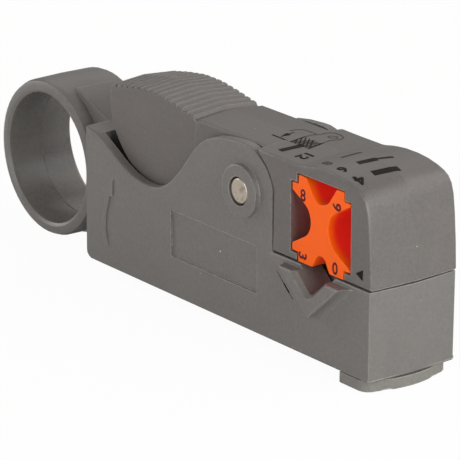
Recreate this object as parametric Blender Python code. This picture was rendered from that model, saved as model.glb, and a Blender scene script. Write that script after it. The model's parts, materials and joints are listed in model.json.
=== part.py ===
"""Rotary coaxial cable stripper with a finger ring, a sprung clamp arm and a turnable cable cassette.

Sizes are in millimetres, x from the body's rear face towards the jaw, y across, z up from the body's underside.
"""
import math

import bmesh
import bpy
from mathutils import Matrix, Vector

MM = 0.001

# Where the body's rear face and underside stand in the row frame
REAR_X = -24.525
UNDERSIDE_Z = 2.0

# Clearances
RUNNING_GAP = 0.3
SEAT_GAP = 0.3

# Body
BODY_HALF = 9.25
BODY_FRONT = 79.3
BODY_TOP = 15.9
REAR_TOP = 24.75
BODY_TAPER = 0.65
REAR_TAPER = 0.3
REAR_BOW = 0.6
BODY_RIM = 0.5
FRONT_CORNER_R = 0.5
REAR_CORNER_R = 1.6
CHEEK_THICK = 1.8
CHANNEL_REAR = 3.3
CHANNEL_FRONT = 51.6
CHANNEL_FLOOR = 7.0
LABEL = (25.2, 49.2, 7.35, 15.75)
LABEL_DEPTH = 0.35

# Pivot
PIVOT = (45.3, 24.64)
PIN_R = 2.25
PIN_HALF = 10.05
EAR_R = 8.25
BOSS_R = 4.6
BOSS_BASE_R = 4.8
BOSS_HALF = 10.25

# Finger ring
RING = (-15.65, 14.3)
RING_HOLE_R = 12.0
RING_HOLE_MID_R = 11.8
RING_R = 14.5
RING_HALF = 7.1
RING_EDGE = 1.1
WEB_HALF = 4.2
ROOT_HALF = 6.1

# Cable guide
CABLE_X = 65.3
GUIDE_HALF = 11.45
GUIDE_TOP = 15.2
GUIDE_APEX = 8.2
GUIDE_REACH = 7.8
TROUGH_Z = 12.1
TROUGH_R = 1.0

# Arm
ARM_HALF = 9.25
ARM_FRONT = 79.3
ARM_TAPER = 0.42
ARM_RIM = 0.6
CROWN = 0.6
NECK_TOP = 33.5
TONGUE_HALF = BODY_HALF - CHEEK_THICK - RUNNING_GAP
PAD_HALF = 6.85
PAD_CROWN = 0.55
PAD_START = 4.7
RIB_COUNT = 15
RIB_PITCH = 1.63
RIB_HEIGHT = 0.5

# Cassette
CASSETTE_SIDE = 15.0
CASSETTE_X = 65.95
CASSETTE_HALF = 9.15
NOTCH = 1.6

# Return spring
SPRING_X = 27.0
SPRING_R = 3.15
WIRE_R = 0.35
SPRING_SEAT_Z = 25.6
POST_R = 2.3

# Blade cartridge
BLADE_PITCH = 4.8
BLADE_THICK = 0.4
BLADE_LONG = 8.0
BLADE_TIP = 14.2
POCKET_REAR = 58.5
POCKET_FRONT = 73.9
POCKET_HALF = 7.7
POCKET_TOP = 10.8
COVER_THICK = 1.2
HEAD_R = 1.8
HEAD_THICK = 1.5
SCREW_R = 1.0
SCREW_TIP = 6.8
SHELF_THICK = 0.6
CARRIER_LONG = 9.0
CARRIER_WIDE = 3.6
CARRIER_TALL = 5.4
CARRIER_LIFT = 0.6
CARRIER_SLOT = 2.0
SOCKET_R = 0.87
SOCKET_DEEP = 1.0

# Foot and its screws
FOOT_REAR = 70.8
FOOT_FRONT = 79.1
FOOT_HALF = 8.9
FOOT_THICK = 1.7
FOOT_SCREW_X = 76.35
FOOT_SCREW_Y = 4.4
FOOT_SCREW_TIP = 5.5
FOOT_HEAD_R = 1.9
TAB_LONG = 1.4
TAB_HALF = 3.0
FOOT_RIM = 0.15

COLOURS = {
    "grey_plastic": (0.17, 0.16, 0.15, 1.0, 0.0, 0.5),
    "orange_plastic": (0.9, 0.13, 0.02, 1.0, 0.0, 0.4),
    "black_plastic": (0.03, 0.03, 0.03, 1.0, 0.0, 0.5),
    "steel": (0.6, 0.58, 0.54, 1.0, 1.0, 0.3),
    "spring_steel": (0.45, 0.45, 0.46, 1.0, 1.0, 0.35),
    "blade_steel": (0.7, 0.7, 0.72, 1.0, 1.0, 0.2),
    "brass": (0.75, 0.55, 0.25, 1.0, 1.0, 0.35),
}


def clear_scene():
    """Remove everything that the new file starts with."""
    for old in list(bpy.data.objects):
        bpy.data.objects.remove(old, do_unlink=True)


def make_collection(name):
    """New collection under the scene's own."""
    group = bpy.data.collections.new(name)
    bpy.context.scene.collection.children.link(group)
    return group


def make_materials():
    """One plain material for each finish."""
    made = {}
    for name, (red, green, blue, alpha, metal, rough) in COLOURS.items():
        material = bpy.data.materials.new(name)
        material.use_nodes = True
        shader = material.node_tree.nodes["Principled BSDF"]
        shader.inputs["Base Color"].default_value = (red, green, blue, alpha)
        shader.inputs["Metallic"].default_value = metal
        shader.inputs["Roughness"].default_value = rough
        made[name] = material
    return made


def to_row(point):
    """Millimetres from the body's rear and underside to metres in the row frame."""
    return Vector(((REAR_X + point[0]) * MM, point[1] * MM, (UNDERSIDE_Z + point[2]) * MM))


def finish(name, bm, group, material=None, origin=(0.0, 0.0, 0.0)):
    """Turn a mesh built in millimetres into a named object whose origin is the given point."""
    bmesh.ops.recalc_face_normals(bm, faces=bm.faces[:])
    base = to_row(origin)
    for vert in bm.verts:
        vert.co = to_row(vert.co) - base
    mesh = bpy.data.meshes.new(name)
    bm.to_mesh(mesh)
    bm.free()
    made = bpy.data.objects.new(name, mesh)
    made.location = base
    group.objects.link(made)
    if material is None:
        made.hide_render = True
        made.display_type = "WIRE"
    else:
        mesh.materials.append(material)
    return made


def combine(target, other, operation):
    """Join or cut a solid with another one."""
    step = target.modifiers.new(other.name, "BOOLEAN")
    step.operation = operation
    step.solver = "EXACT"
    step.object = other


def arc(centre, radius, start, end, steps, taper=0.0, soft=0.0):
    """Points on an arc, angles in degrees, each with its taper and rim softness."""
    points = []
    for i in range(steps + 1):
        angle = math.radians(start + (end - start) * i / steps)
        x = centre[0] + radius * math.cos(angle)
        z = centre[1] + radius * math.sin(angle)
        points.append((x, z, taper, soft))
    return points


def inset(points, amounts):
    """Outline with each edge moved inwards by its own amount."""
    moved = []
    count = len(points)
    for i in range(count):
        here = Vector(points[i][:2])
        into = (here - Vector(points[i - 1][:2])).normalized()
        out = (Vector(points[(i + 1) % count][:2]) - here).normalized()
        first = Vector((-into.y, into.x))
        second = Vector((-out.y, out.x))
        a = amounts[i - 1]
        b = amounts[i]
        turn = first.x * second.y - first.y * second.x
        if abs(turn) > 0.3:
            shift = Vector(((a * second.y - b * first.y) / turn, (first.x * b - second.x * a) / turn))
        else:
            shift = (first * a + second * b) * 0.5
        moved.append(here + shift)
    return moved


def loft(sections, along="Y"):
    """Closed solid through like sections, each a distance and its outline."""
    bm = bmesh.new()
    rings = []
    for distance, outline in sections:
        ring = []
        for point in outline:
            if along == "Y":
                ring.append(bm.verts.new((point[0], distance, point[1])))
            else:
                ring.append(bm.verts.new((point[0], point[1], distance)))
        rings.append(ring)
    for lower, upper in zip(rings, rings[1:]):
        for i in range(len(lower)):
            j = (i + 1) % len(lower)
            bm.faces.new((lower[i], lower[j], upper[j], upper[i]))
    bm.faces.new(rings[0])
    bm.faces.new(list(reversed(rings[-1])))
    bmesh.ops.recalc_face_normals(bm, faces=bm.faces[:])
    bmesh.ops.connect_verts_nonplanar(bm, angle_limit=0.0002, faces=bm.faces[:])
    return bm


def plate(outline, half, steps=2):
    """Solid cut to a side outline, tapered from its middle plane and rounded at both rims."""
    softest = max(point[3] for point in outline)
    stations = [(half - softest, 0.0)]
    if softest > 0.0:
        for i in range(steps):
            angle = math.radians(90.0 * (i + 1) / steps)
            stations.append((half - softest + softest * math.sin(angle), 1.0 - math.cos(angle)))
    side = []
    for distance, share in stations:
        amounts = [point[2] * distance / half + point[3] * share for point in outline]
        side.append((distance, inset(outline, amounts)))
    middle = [(0.0, [point[:2] for point in outline])]
    far = [(-distance, shape) for distance, shape in reversed(side)]
    return loft(far + middle + side)


def block(x0, x1, y0, y1, z0, z1):
    """Plain box between six limits."""
    bm = bmesh.new()
    size = Matrix.Diagonal((x1 - x0, y1 - y0, z1 - z0, 1.0))
    middle = Matrix.Translation(((x0 + x1) / 2, (y0 + y1) / 2, (z0 + z1) / 2))
    bmesh.ops.create_cube(bm, size=1.0, matrix=middle @ size)
    return bm


def rod(centre, radius, low, high, axis="Y", steps=32, turn=0.0):
    """Cylinder along y at (x, z), or along z at (x, y)."""
    bm = bmesh.new()
    middle = (low + high) / 2
    if axis == "Y":
        place = Matrix.Translation((centre[0], middle, centre[1])) @ Matrix.Rotation(math.pi / 2, 4, "X")
    else:
        place = Matrix.Translation((centre[0], centre[1], middle)) @ Matrix.Rotation(turn, 4, "Z")
    bmesh.ops.create_cone(
        bm, cap_ends=True, segments=steps, radius1=radius, radius2=radius, depth=high - low, matrix=place
    )
    return bm


def spun(profile, centre, axis="Y", steps=48, closed=False):
    """Profile of radius and height spun about an axis through the centre."""
    bm = bmesh.new()
    verts = []
    for radius, height in profile:
        if axis == "Y":
            verts.append(bm.verts.new((centre[0] + radius, height, centre[1])))
        else:
            verts.append(bm.verts.new((centre[0] + radius, centre[1], height)))
    edges = [bm.edges.new(pair) for pair in zip(verts, verts[1:])]
    if closed:
        edges.append(bm.edges.new((verts[-1], verts[0])))
    middle = (centre[0], 0.0, centre[1]) if axis == "Y" else (centre[0], centre[1], 0.0)
    line = (0.0, 1.0, 0.0) if axis == "Y" else (0.0, 0.0, 1.0)
    bmesh.ops.spin(
        bm, geom=verts + edges, cent=middle, axis=line, angle=math.tau, steps=steps, use_merge=True
    )
    bmesh.ops.remove_doubles(bm, verts=bm.verts[:], dist=0.0005)
    return bm


def body_outline():
    """Side view of the body, from its rear bottom corner anticlockwise."""
    taper = BODY_TAPER
    rear = (REAR_CORNER_R - REAR_BOW, REAR_CORNER_R)
    points = arc(rear, REAR_CORNER_R, 180.0, 270.0, 3, REAR_TAPER / 2, 0.35)
    points[-1] = (*points[-1][:2], 0.0, 0.2)
    front = (BODY_FRONT - 0.35 - FRONT_CORNER_R, FRONT_CORNER_R)
    points += arc(front, FRONT_CORNER_R, -90.0, 0.0, 4, taper / 2, BODY_RIM)
    points[-1] = (*points[-1][:2], taper, BODY_RIM)
    points.append((BODY_FRONT, BODY_TOP, 0.0, 0.25))
    ear_front = PIVOT[0] + EAR_R - 0.3
    points.append((ear_front, BODY_TOP, 0.0, 0.4))
    lift = math.degrees(math.acos((EAR_R - 0.3) / EAR_R))
    points += arc(PIVOT, EAR_R, lift, 95.0, 8, 0.0, BODY_RIM)
    valley = [
        (41.0, 32.65), (37.7, 32.15), (34.8, 31.05), (32.7, 29.6), (31.0, 27.9), (29.4, 25.9), (27.6, 23.75),
        (25.8, 21.9), (23.9, 20.3), (21.6, 19.0), (19.0, 18.45), (16.3, 18.5), (13.4, 19.1), (10.2, 20.4),
        (6.6, 22.4), (3.4, 24.1),
    ]
    points += [(x, z, 0.1, BODY_RIM) for x, z in valley]
    points.append((-REAR_BOW + 0.15, REAR_TOP, REAR_TAPER, 0.35))
    return points


def make_body(nodes, cutters, finishes):
    """Body with finger ring, ears, cable guides, lever channel and blade pocket."""
    body = finish("body_frame", plate(body_outline(), BODY_HALF), nodes, finishes["grey_plastic"])

    edge = RING_HALF
    round_off = RING_EDGE
    profile = [
        (RING_HOLE_MID_R, 0.0), (RING_HOLE_R, -edge + 1.0), (RING_HOLE_R + 0.2, -edge + 0.35),
        (RING_HOLE_R + 0.7, -edge), (RING_R - round_off, -edge), (RING_R - 0.3 * round_off, -edge + 0.3 * round_off),
        (RING_R, -edge + round_off), (RING_R + 0.1, 0.0), (RING_R, edge - round_off),
        (RING_R - 0.3 * round_off, edge - 0.3 * round_off), (RING_R - round_off, edge),
        (RING_HOLE_R + 0.7, edge), (RING_HOLE_R + 0.2, edge - 0.35), (RING_HOLE_R, edge - 1.0),
    ]
    ring = finish("ring_solid", spun(profile, RING, steps=56, closed=True), cutters)
    combine(body, ring, "UNION")

    middle_r = (RING_R + RING_HOLE_R) / 2
    inside = 1.5
    root = plate([(-2.4, 8.5, 0, 0), (inside, 8.5, 0, 0), (inside, 20.5, 0, 0), (-2.4, 20.5, 0, 0)], ROOT_HALF)
    combine(body, finish("ring_root", root, cutters), "UNION")

    top = [(x, z, 0.0, 0.4) for x, z in [(inside, 14.5), (inside, 24.1), (-0.5, 25.0), (-9.9, 28.4)]]
    top += [(x, z, 0.0, 0.0) for x, z, _, _ in arc(RING, middle_r, 66.0, 6.0, 6)]
    combine(body, finish("web_top", plate(top, WEB_HALF), cutters), "UNION")
    low = [(x, z, 0.0, 0.0) for x, z, _, _ in arc(RING, middle_r, -4.0, -64.0, 6)]
    curve = [(-8.9, 1.3), (-7.6, 1.6), (-6.7, 1.2), (-5.8, 0.7), (inside, 0.6), (inside, 13.6)]
    low += [(x, z, 0.0, 0.4) for x, z in curve]
    combine(body, finish("web_low", plate(low, WEB_HALF), cutters), "UNION")

    boss = [(0.0, -BOSS_HALF), (BOSS_R - 0.3, -BOSS_HALF), (BOSS_R, -BOSS_HALF + 0.12)]
    boss += [(BOSS_R + 0.1, -BODY_HALF - 0.3), (BOSS_BASE_R, -BODY_HALF + 0.1)]
    boss += [(radius, -height) for radius, height in reversed(boss)]
    combine(body, finish("boss_solid", spun(boss, PIVOT, steps=40), cutters), "UNION")

    guide = guide_outline()
    near = [(-GUIDE_HALF, inset(guide, [0.25, 0.25, 0.25]))]
    for proud, spread in ((1.95, 0.0), (0.9, 0.15), (0.35, 0.45), (-0.15, 1.1)):
        near.append((-BODY_HALF - proud, inset(guide, [-spread, 0.0, -spread])))
    sections = near + [(-distance, shape) for distance, shape in reversed(near)]
    combine(body, finish("guide_solid", loft(sections), cutters), "UNION")

    channel = [
        (CHANNEL_REAR, CHANNEL_FLOOR, 0, 0), (CHANNEL_FRONT, CHANNEL_FLOOR, 0, 0),
        (CHANNEL_FRONT, BODY_TOP + 0.5, 0, 0), (60.0, BODY_TOP + 0.5, 0, 0), (60.0, 45.0, 0, 0),
        (CHANNEL_REAR, 45.0, 0, 0),
    ]
    combine(body, finish("channel_cut", plate(channel, BODY_HALF - CHEEK_THICK), cutters), "DIFFERENCE")
    post = rod((SPRING_X, 0.0), POST_R, CHANNEL_FLOOR - 0.5, CHANNEL_FLOOR + 2.0, "Z", 20)
    combine(body, finish("spring_post", post, cutters), "UNION")
    hole = rod(PIVOT, PIN_R + SEAT_GAP, -12.0, 12.0, "Y", 32)
    combine(body, finish("pin_hole", hole, cutters), "DIFFERENCE")

    trough = trough_outline()
    wide = inset(trough, [-0.9] * len(trough))
    sections = [(-GUIDE_HALF - 0.3, wide), (-GUIDE_HALF + 0.9, trough)]
    sections += [(-distance, shape) for distance, shape in reversed(sections)]
    combine(body, finish("trough_cut", loft(sections), cutters), "DIFFERENCE")

    pocket = block(POCKET_REAR, POCKET_FRONT, -POCKET_HALF, POCKET_HALF, -1.0, POCKET_TOP)
    combine(body, finish("pocket_cut", pocket, cutters), "DIFFERENCE")
    half_slot = BLADE_LONG / 2 + SEAT_GAP + 0.1
    for i in range(3):
        y = (i - 1) * BLADE_PITCH
        wide = BLADE_THICK / 2 + RUNNING_GAP
        slot = block(CABLE_X - half_slot, CABLE_X + half_slot, y - wide, y + wide, POCKET_TOP - 0.5, 18.0)
        combine(body, finish(f"blade_slot_{i + 1}", slot, cutters), "DIFFERENCE")
    reach = TAB_LONG + SEAT_GAP
    tab = block(
        POCKET_REAR - reach, POCKET_REAR + 0.5, -TAB_HALF - SEAT_GAP, TAB_HALF + SEAT_GAP,
        0.5 - SEAT_GAP, COVER_THICK + SEAT_GAP,
    )
    combine(body, finish("tab_cut", tab, cutters), "DIFFERENCE")
    for i, side in enumerate((-1, 1)):
        y = side * FOOT_SCREW_Y
        drill = rod((FOOT_SCREW_X, y), SCREW_R + SEAT_GAP, -1.0, FOOT_SCREW_TIP + SEAT_GAP, "Z", 20)
        combine(body, finish(f"drill_{i + 1}", drill, cutters), "DIFFERENCE")
        y0 = side * (BODY_HALF - LABEL_DEPTH)
        y1 = side * (BODY_HALF + 1.0)
        recess = block(LABEL[0], LABEL[1], min(y0, y1), max(y0, y1), LABEL[2], LABEL[3])
        combine(body, finish(f"label_cut_{i + 1}", recess, cutters), "DIFFERENCE")
    return body


def guide_outline():
    """Face of the V-shaped cable guide, from its apex anticlockwise."""
    return [(CABLE_X, GUIDE_APEX), (CABLE_X + GUIDE_REACH, GUIDE_TOP), (CABLE_X - GUIDE_REACH, GUIDE_TOP)]


def trough_outline():
    """V in which the cable lies, with a rounded bottom and open above."""
    centre = (CABLE_X, TROUGH_Z + TROUGH_R)
    bottom = arc(centre, TROUGH_R, 228.0, 312.0, 4)
    height = 18.0
    half = bottom[-1][0] - CABLE_X + (height - bottom[-1][1]) * math.tan(math.radians(48.0))
    shape = [(x, z) for x, z, _, _ in bottom]
    return shape + [(CABLE_X + half, height), (CABLE_X - half, height)]


def rib_height(x):
    """Height of the thumb pad's crown at a place along the lever."""
    crown = [(4.7, 33.7), (9.5, 34.65), (14.3, 35.3), (18.9, 35.25), (23.5, 34.6), (29.5, 33.5)]
    for (x0, z0), (x1, z1) in zip(crown, crown[1:]):
        if x <= x1:
            return z0 + (z1 - z0) * (x - x0) / (x1 - x0)
    return crown[-1][1]


def rib_points():
    """Ribs across the thumb pad as side view points, from front to rear."""
    points = []
    for i in reversed(range(RIB_COUNT)):
        x = PAD_START + RIB_PITCH * i
        points.append((x + 1.3, rib_height(x + 1.3) - RIB_HEIGHT))
        points.append((x + 0.95, rib_height(x + 0.95)))
        points.append((x + 0.35, rib_height(x + 0.35)))
        points.append((x, rib_height(x) - RIB_HEIGHT))
    return points


def neck_outline():
    """Side view of the neck between the cheeks, from its rear bottom corner anticlockwise."""
    top = NECK_TOP - 0.05
    points = [(28.6, 17.4, 0.2, 0.35), (56.0, 17.2, 0.0, 0.35), (56.0, 31.0, 0.0, 0.35)]
    points += [(50.6, top, CROWN, 0.6), (40.0, top, CROWN, 0.6), (30.4, top, CROWN, 0.6)]
    return points + [(29.0, top - 0.6, 0.3, 0.6), (28.6, 30.0, 0.3, 0.6)]


def lever_solid():
    """Thumb lever with a crowned pad: its side view lowered and drawn in towards both sides."""
    rear = [
        (4.35, 31.9), (4.05, 30.6), (4.1, 28.8), (4.55, 26.8), (5.3, 25.0), (6.4, 23.3), (7.9, 21.5),
        (9.9, 19.8), (12.3, 18.5), (15.0, 17.75), (18.1, 17.4),
    ]
    low = [(20.5, 17.3), (32.0, 17.1), (32.0, 31.5)]
    ribs = rib_points()
    outline = low + ribs + rear
    first = len(low)
    last = first + len(ribs)

    def section(distance, drop, soft):
        amounts = [0.0 if first - 1 <= i < last else soft for i in range(len(outline))]
        shape = inset(outline, amounts)
        return (distance, [(x, z - drop if first <= i < last else z) for i, (x, z) in enumerate(shape)])

    side = [section(PAD_HALF - 0.3, PAD_CROWN, 0.1), section(PAD_HALF, PAD_CROWN + 0.15, 0.35)]
    far = [(-distance, shape) for distance, shape in reversed(side)]
    return loft(far + [section(0.0, 0.0, 0.0)] + side)


def head_outline():
    """Side view of the jaw head, from its rear bottom corner anticlockwise."""
    rear = PIVOT[0] + EAR_R
    bottom = BODY_TOP + SEAT_GAP
    taper = ARM_TAPER
    points = [(rear, bottom, 0.0, 0.25)]
    face = [(ARM_FRONT, bottom), (79.1, 21.0), (78.7, 26.0), (78.3, 29.0), (77.7, 30.9), (76.8, 32.1)]
    dome = [(75.6, 32.9), (73.8, 33.6), (71.4, 34.1), (68.8, 34.35), (66.2, 34.35), (64.0, 34.15)]
    lip = [(62.4, 33.9), (61.2, 33.65), (60.2, NECK_TOP)]
    points += [(x, z, taper, ARM_RIM) for x, z in face]
    points += [(x, z, CROWN, ARM_RIM) for x, z in dome + lip]
    points.append((54.0, NECK_TOP, CROWN, 0.6))
    points.append((51.0, NECK_TOP, CROWN, 0.35))
    points.append((49.2, NECK_TOP, 0.0, 0.25))
    reach = EAR_R + RUNNING_GAP
    low = math.degrees(math.acos(EAR_R / reach))
    points += arc(PIVOT, reach, 60.0, low, 6, 0.0, 0.25)
    return points


def window_outline(gap):
    """Stepped square that the cassette fills, grown by a gap and open below."""
    half = CASSETTE_SIDE / 2 + gap
    notch = NOTCH
    x = CASSETTE_X
    z = cassette_z()
    inner = half - notch
    shape = [(-inner, -half), (inner, -half), (inner, -inner), (half, -inner), (half, inner), (inner, inner)]
    shape += [(inner, half), (-inner, half), (-inner, inner), (-half, inner), (-half, -inner), (-inner, -inner)]
    return [(x + dx, z + dz) for dx, dz in shape]


def cassette_z():
    """Height of the cassette's axis, its lower face level with the head's."""
    return BODY_TOP + SEAT_GAP + CASSETTE_SIDE / 2


def make_arm(nodes, cutters, finishes):
    """Clamp arm with ribbed thumb lever, neck and jaw head."""
    pivot = (PIVOT[0], 0.0, PIVOT[1])
    neck = plate(neck_outline(), TONGUE_HALF)
    arm = finish("clamp_arm", neck, nodes, finishes["grey_plastic"], pivot)
    combine(arm, finish("lever_solid", lever_solid(), cutters), "UNION")

    head = finish("head_solid", plate(head_outline(), ARM_HALF), cutters)
    combine(arm, head, "UNION")

    window = window_outline(SEAT_GAP)
    window = [(x, z - 2.0) if z < BODY_TOP + SEAT_GAP else (x, z) for x, z in window]
    combine(arm, finish("window_cut", loft([(-12.0, window), (12.0, window)]), cutters), "DIFFERENCE")
    hole = rod(PIVOT, PIN_R + RUNNING_GAP, -12.0, 12.0, "Y", 32)
    combine(arm, finish("arm_hole", hole, cutters), "DIFFERENCE")
    seat = rod((SPRING_X, 0.0), SPRING_R + WIRE_R + 0.5, 12.0, SPRING_SEAT_Z, "Z", 28)
    combine(arm, finish("seat_cut", seat, cutters), "DIFFERENCE")
    return arm


def groove(width, depth, radius, side):
    """Rounded V groove in one side of the cassette, as points around its middle."""
    half = CASSETTE_SIDE / 2
    drop = depth - radius
    touch = math.pi - math.atan2(width / 2, drop) - math.acos(radius / math.hypot(width / 2, drop))
    points = [(-width / 2, half)]
    for i in range(13):
        angle = -math.pi / 2 + (i / 6 - 1.0) * touch
        points.append((radius * math.cos(angle), half - drop + radius * math.sin(angle)))
    points.append((width / 2, half))
    turn = math.radians(side)
    turned = []
    for x, z in points:
        turned.append((x * math.cos(turn) - z * math.sin(turn), x * math.sin(turn) + z * math.cos(turn)))
    return turned


def make_cassette(nodes, finishes):
    """X-shaped prism with a groove of its own size in each side."""
    half = CASSETTE_SIDE / 2
    inner = half - NOTCH
    sizes = [(7.9, 3.7, 2.6, 0.0), (9.2, 4.8, 3.3, 90.0), (4.4, 2.4, 1.4, 180.0), (10.9, 5.7, 3.8, 270.0)]
    outline = []
    for width, depth, radius, side in sizes:
        turn = math.radians(side)
        cut = list(reversed(groove(width, depth, radius, side)))
        corner = []
        for x, z in [(inner, inner), (inner, half)]:
            corner.append((x * math.cos(turn) - z * math.sin(turn), x * math.sin(turn) + z * math.cos(turn)))
        outline += corner + cut
        x, z = -inner, half
        outline.append((x * math.cos(turn) - z * math.sin(turn), x * math.sin(turn) + z * math.cos(turn)))
    shape = [(CASSETTE_X + x, cassette_z() + z) for x, z in outline]
    bm = loft([(-CASSETTE_HALF, shape), (CASSETTE_HALF, shape)])
    origin = (CASSETTE_X, 0.0, cassette_z())
    return finish("cable_cassette", bm, nodes, finishes["orange_plastic"], origin)


def make_pin(nodes, finishes):
    """Headless pivot pin with rounded ends."""
    end = PIN_HALF
    profile = [(0.0, -end), (PIN_R - 0.5, -end + 0.02), (PIN_R - 0.15, -end + 0.15), (PIN_R, -end + 0.5)]
    profile += [(radius, -height) for radius, height in reversed(profile)]
    bm = spun(profile, PIVOT, steps=32)
    return finish("pivot_pin", bm, nodes, finishes["steel"], (PIVOT[0], 0.0, PIVOT[1]))


def make_spring(nodes, finishes):
    """Compression coil between the channel floor and its seat in the lever."""
    low = CHANNEL_FLOOR + SEAT_GAP + WIRE_R
    high = SPRING_SEAT_Z - SEAT_GAP - WIRE_R
    turns = 8
    per_turn = 14
    count = turns * per_turn
    dead = 2 * WIRE_R + 0.25
    rise = (high - low - 2 * dead) / (turns - 2)
    curve = bpy.data.curves.new("return_spring_path", "CURVE")
    curve.dimensions = "3D"
    curve.bevel_depth = WIRE_R * MM
    curve.bevel_resolution = 1
    curve.use_fill_caps = True
    curve.resolution_u = 1
    curve.render_resolution_u = 0
    spline = curve.splines.new("POLY")
    spline.points.add(count)
    for i in range(count + 1):
        done = i / per_turn
        if done <= 1.0:
            z = low + dead * done
        elif done >= turns - 1:
            z = high - dead * (turns - done)
        else:
            z = low + dead + rise * (done - 1.0)
        angle = math.tau * done
        x = SPRING_R * math.cos(angle)
        y = SPRING_R * math.sin(angle)
        spline.points[i].co = (*(to_row((SPRING_X + x, y, z))), 1.0)
    path = bpy.data.objects.new("return_spring_path", curve)
    nodes.objects.link(path)
    bpy.context.view_layer.update()
    depsgraph = bpy.context.evaluated_depsgraph_get()
    mesh = bpy.data.meshes.new_from_object(path.evaluated_get(depsgraph))
    mesh.name = "return_spring"
    bm = bmesh.new()
    bm.from_mesh(mesh)
    bmesh.ops.remove_doubles(bm, verts=bm.verts[:], dist=0.00001)
    bmesh.ops.recalc_face_normals(bm, faces=bm.faces[:])
    bm.to_mesh(mesh)
    bm.free()
    mesh.materials.clear()
    mesh.materials.append(finishes["spring_steel"])
    spring = bpy.data.objects.new("return_spring", mesh)
    nodes.objects.link(spring)
    bpy.data.objects.remove(path, do_unlink=True)
    return spring


def carrier_floor():
    """Height of the floor on which a carrier would bottom out."""
    return COVER_THICK + SEAT_GAP + HEAD_THICK + SEAT_GAP + SHELF_THICK


def make_cartridge(nodes, cutters, finishes):
    """Guide block with a cell for each carrier and a seat for each screw head."""
    low = COVER_THICK + SEAT_GAP
    floor = carrier_floor()
    bm = block(
        POCKET_REAR + SEAT_GAP, POCKET_FRONT - SEAT_GAP, -POCKET_HALF + SEAT_GAP, POCKET_HALF - SEAT_GAP,
        low, POCKET_TOP - SEAT_GAP,
    )
    cartridge = finish("blade_cartridge", bm, nodes, finishes["black_plastic"])
    long = CARRIER_LONG / 2 + RUNNING_GAP
    wide = CARRIER_WIDE / 2 + RUNNING_GAP
    for i in range(3):
        y = (i - 1) * BLADE_PITCH
        cell = block(CABLE_X - long, CABLE_X + long, y - wide, y + wide, floor, 20.0)
        combine(cartridge, finish(f"cell_{i + 1}", cell, cutters), "DIFFERENCE")
        seat = rod((CABLE_X, y), HEAD_R + RUNNING_GAP, low - 1.0, floor - SHELF_THICK, "Z", 24)
        combine(cartridge, finish(f"head_seat_{i + 1}", seat, cutters), "DIFFERENCE")
        shank = rod((CABLE_X, y), SCREW_R + RUNNING_GAP, low, floor + 0.5, "Z", 20)
        combine(cartridge, finish(f"shank_hole_{i + 1}", shank, cutters), "DIFFERENCE")
    return cartridge


def make_blades(nodes, cutters, finishes):
    """Blades, their carriers and the screws that lift them."""
    rest = carrier_floor() + CARRIER_LIFT
    top = rest + CARRIER_TALL
    slot_floor = top - CARRIER_SLOT
    blade_low = slot_floor + SEAT_GAP
    half = BLADE_LONG / 2
    for i in range(3):
        y = (i - 1) * BLADE_PITCH
        thin = BLADE_THICK / 2
        edge = [
            (y - thin, blade_low), (y + thin, blade_low), (y + thin, BLADE_TIP - 0.9),
            (y + 0.03, BLADE_TIP), (y - 0.03, BLADE_TIP), (y - thin, BLADE_TIP - 0.9),
        ]
        bm = bmesh.new()
        rings = []
        for x in (CABLE_X - half, CABLE_X + half):
            rings.append([bm.verts.new((x, across, z)) for across, z in edge])
        face = bm.faces.new(rings[0])
        bm.faces.new(list(reversed(rings[1])))
        for a in range(len(edge)):
            b = (a + 1) % len(edge)
            bm.faces.new((rings[0][b], rings[0][a], rings[1][a], rings[1][b]))
        face.normal_update()
        finish(f"blade_{i + 1}", bm, nodes, finishes["blade_steel"], (CABLE_X, y, blade_low))

        carrier = block(
            CABLE_X - CARRIER_LONG / 2, CABLE_X + CARRIER_LONG / 2, y - CARRIER_WIDE / 2, y + CARRIER_WIDE / 2,
            rest, top,
        )
        carrier = finish(f"blade_carrier_{i + 1}", carrier, nodes, finishes["brass"], (CABLE_X, y, rest))
        wide = thin + SEAT_GAP
        slot = block(CABLE_X - half - SEAT_GAP, CABLE_X + half + SEAT_GAP, y - wide, y + wide, slot_floor, top + 1.0)
        combine(carrier, finish(f"carrier_slot_{i + 1}", slot, cutters), "DIFFERENCE")
        bore = rod((CABLE_X, y), SCREW_R + RUNNING_GAP, rest - 1.0, slot_floor - SEAT_GAP, "Z", 20)
        combine(carrier, finish(f"carrier_bore_{i + 1}", bore, cutters), "DIFFERENCE")

        low = COVER_THICK + SEAT_GAP
        profile = [
            (0.0, low), (HEAD_R - 0.2, low), (HEAD_R, low + 0.2), (HEAD_R, low + HEAD_THICK),
            (SCREW_R, low + HEAD_THICK), (SCREW_R, SCREW_TIP - 0.3), (SCREW_R - 0.3, SCREW_TIP), (0.0, SCREW_TIP),
        ]
        bm = spun(profile, (CABLE_X, y), "Z", 24)
        screw = finish(f"adjusting_screw_{i + 1}", bm, nodes, finishes["steel"], (CABLE_X, y, low))
        key = rod((CABLE_X, y), SOCKET_R, low - 1.0, low + SOCKET_DEEP, "Z", 6, math.pi / 6)
        combine(screw, finish(f"socket_{i + 1}", key, cutters), "DIFFERENCE")


def foot_outline():
    """Plan of the foot: straight rear, bowed front and rounded corners."""
    bow = 1.4
    corner_r = 2.2
    reach = FOOT_HALF - corner_r
    radius = (reach * reach + bow * bow) / (2 * bow)
    swing = math.degrees(math.asin(reach / radius))
    front = arc((FOOT_FRONT - radius, 0.0), radius, -swing, swing, 8)
    end = front[-1][0] - corner_r
    near = arc((end, -reach), corner_r, -90.0, -20.0, 3)
    far = arc((end, reach), corner_r, 20.0, 90.0, 3)
    outline = [(x, y) for x, y, _, _ in near + front + far]
    return [(FOOT_REAR, -FOOT_HALF), *outline, (FOOT_REAR, FOOT_HALF)]


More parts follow.
